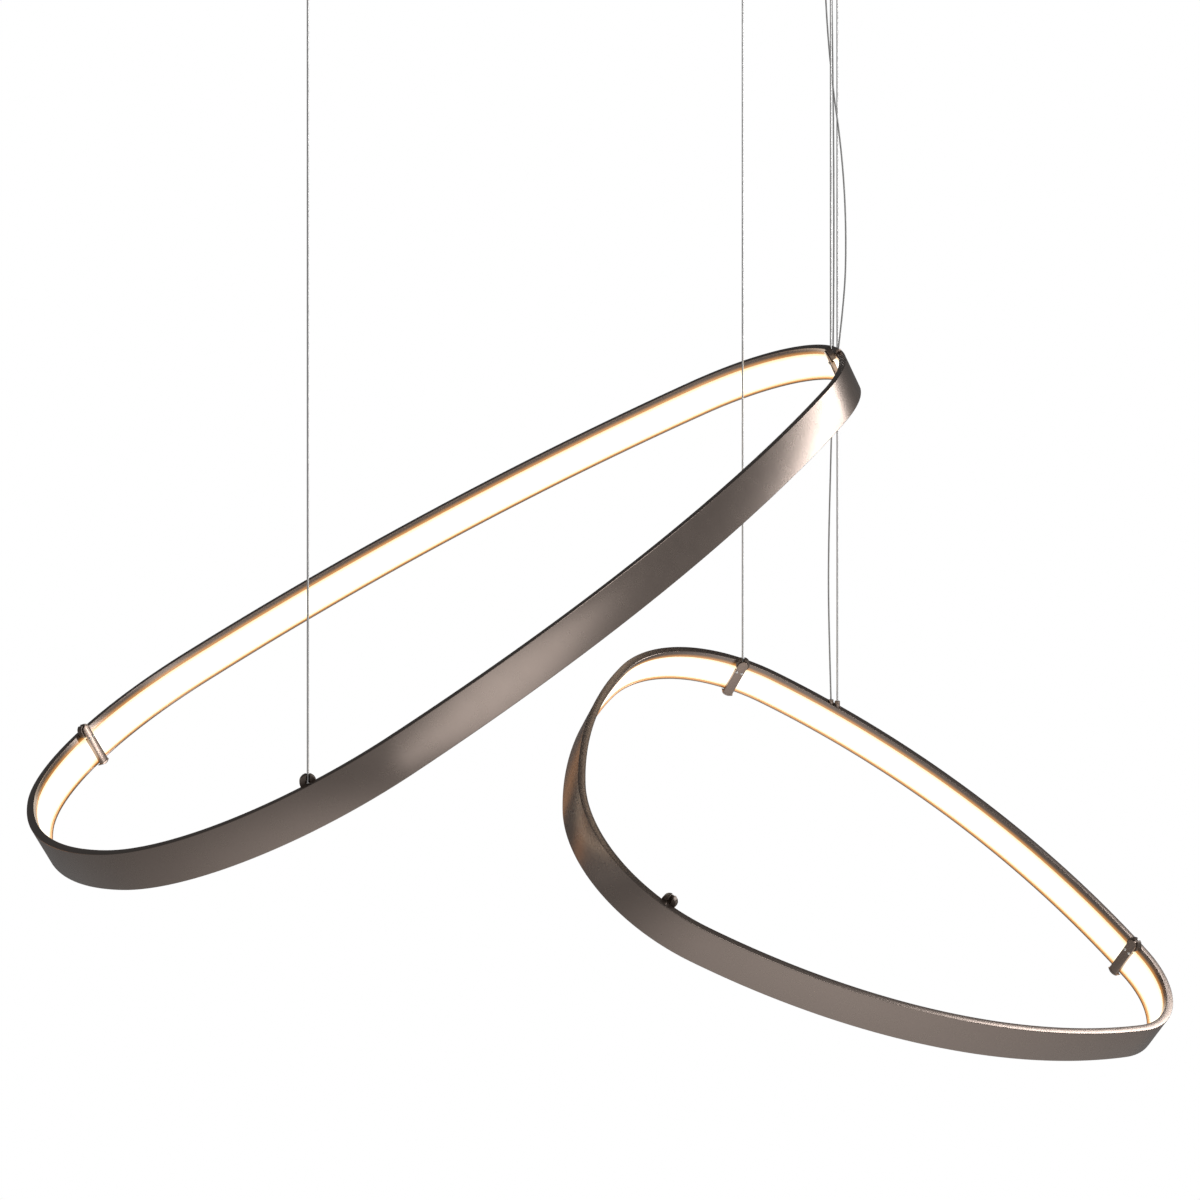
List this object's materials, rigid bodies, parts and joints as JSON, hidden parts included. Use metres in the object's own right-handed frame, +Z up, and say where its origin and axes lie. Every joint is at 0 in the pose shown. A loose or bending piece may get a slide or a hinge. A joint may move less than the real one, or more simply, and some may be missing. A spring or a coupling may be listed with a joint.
{
  "type": "led ring chandelier",
  "caption": "Pendant light of two tilted egg-shaped metal bands, each with an inward-facing light strip, hung on thin cables from a ceiling canopy and single ceiling cups.",
  "frame": {"origin": "middle of the canopy's mounting plate, on the ceiling plane", "axes": "+Z up, out of the ceiling; +X to the right in the picture's view; +Y away from the viewer"},
  "size_m": [1.1794, 0.6925, 1.1815],
  "materials": {
    "band_bronze": "satin bronze lacquer",
    "clip_bronze": "satin",
    "dark_swivel": "satin",
    "opal_diffuser": "opal, lit warm white",
    "light_tape": "satin",
    "stop_steel": "satin",
    "cable_steel": "satin",
    "cord_sheath": "smooth",
    "gland_plastic": "satin",
    "nickel_fitting": "satin nickel",
    "plate_steel": "zinc plated",
    "supply_case": "matt",
    "terminal_plastic": "matt"
  },
  "bodies": {
    "ceiling_side": {"canopy_cover": "band_bronze", "canopy_plate": "plate_steel", "large_cord_gland": "gland_plastic", "large_end_cable": "cable_steel", "large_end_gripper": "nickel_fitting", "large_end_nut": "nickel_fitting", "large_end_stop": "stop_steel", "large_front_cable": "cable_steel", "large_front_cup_base": "plate_steel", "large_front_cup_cap": "band_bronze", "large_front_gripper": "nickel_fitting", "large_front_nut": "nickel_fitting", "large_front_stop": "stop_steel", "large_power_cord": "cord_sheath", "power_supply": "supply_case", "small_back_cable": "cable_steel", "small_back_gripper": "nickel_fitting", "small_back_nut": "nickel_fitting", "small_back_stop": "stop_steel", "small_cord_gland": "gland_plastic", "small_left_cable": "cable_steel", "small_left_cup_base": "plate_steel", "small_left_cup_cap": "band_bronze", "small_left_gripper": "nickel_fitting", "small_left_nut": "nickel_fitting", "small_left_stop": "stop_steel", "small_power_cord": "cord_sheath", "terminal_block": "terminal_plastic"},
    "large_loop": {"large_back_clip": "clip_bronze", "large_band": "band_bronze", "large_diffuser": "opal_diffuser", "large_end_clip": "clip_bronze", "large_front_clip": "clip_bronze", "large_led_tape": "light_tape", "large_power_inlet": "clip_bronze"},
    "small_loop": {"small_band": "band_bronze", "small_cable_anchor": "clip_bronze", "small_diffuser": "opal_diffuser", "small_front_clip": "clip_bronze", "small_led_tape": "light_tape", "small_left_clip": "clip_bronze", "small_power_inlet": "clip_bronze", "small_right_clip": "clip_bronze"},
    "large_back_swivel_body": {"large_back_swivel": "dark_swivel"},
    "large_end_swivel_body": {"large_end_swivel": "dark_swivel"},
    "large_front_swivel_body": {"large_front_swivel": "dark_swivel"},
    "small_front_swivel_body": {"small_front_swivel": "dark_swivel"},
    "small_left_swivel_body": {"small_left_swivel": "dark_swivel"},
    "small_right_swivel_body": {"small_right_swivel": "dark_swivel"}
  },
  "joints": [
    {"name": "large_tilt", "type": "hinge", "parent": "ceiling_side", "child": "large_loop", "pos_m": [-0.51193, -0.50768, -0.8813], "axis": [0.6221, 0.5829, 0.5227], "range_deg": [-2, 5]},
    {"name": "small_tilt", "type": "hinge", "parent": "ceiling_side", "child": "small_loop", "pos_m": [-0.09752, 0.0221, -0.78939], "axis": [0.9166, 0.0951, -0.3882], "range_deg": [-4, 4]},
    {"name": "large_front_swivel_turn", "type": "hinge", "parent": "large_loop", "child": "large_front_swivel_body", "pos_m": [-0.51202, -0.50706, -0.88114], "axis": [-0.1434, 0.956, 0.256], "range_deg": [-3, 3]},
    {"name": "large_back_swivel_turn", "type": "hinge", "parent": "large_loop", "child": "large_back_swivel_body", "pos_m": [-0.81004, -0.00396, -0.86138], "axis": [0.8072, -0.544, 0.2292], "continuous": true},
    {"name": "large_end_swivel_turn", "type": "hinge", "parent": "large_loop", "child": "large_end_swivel_body", "pos_m": [-0.00699, -0.03401, -0.45685], "axis": [-0.8851, -0.022, -0.4649], "range_deg": [-4, 4]},
    {"name": "small_left_swivel_turn", "type": "hinge", "parent": "small_loop", "child": "small_left_swivel_body", "pos_m": [-0.09749, 0.02157, -0.78976], "axis": [0.0443, -0.8176, -0.5741], "range_deg": [-0.5, 0.5]},
    {"name": "small_right_swivel_turn", "type": "hinge", "parent": "small_loop", "child": "small_right_swivel_body", "pos_m": [0.30522, -0.09443, -1.07983], "axis": [-0.7318, -0.6778, -0.0715], "continuous": true},
    {"name": "small_front_swivel_turn", "type": "hinge", "parent": "small_loop", "child": "small_front_swivel_body", "pos_m": [-0.1875, -0.36575, -1.0033], "axis": [0.4335, 0.8364, 0.3353], "continuous": true}
  ],
  "couplings": [
    {"joint": "large_front_swivel_turn", "follows": "large_tilt", "ratio": -0.5009},
    {"joint": "large_end_swivel_turn", "follows": "large_tilt", "ratio": 0.7187},
    {"joint": "small_left_swivel_turn", "follows": "small_tilt", "ratio": 0.0554}
  ]
}
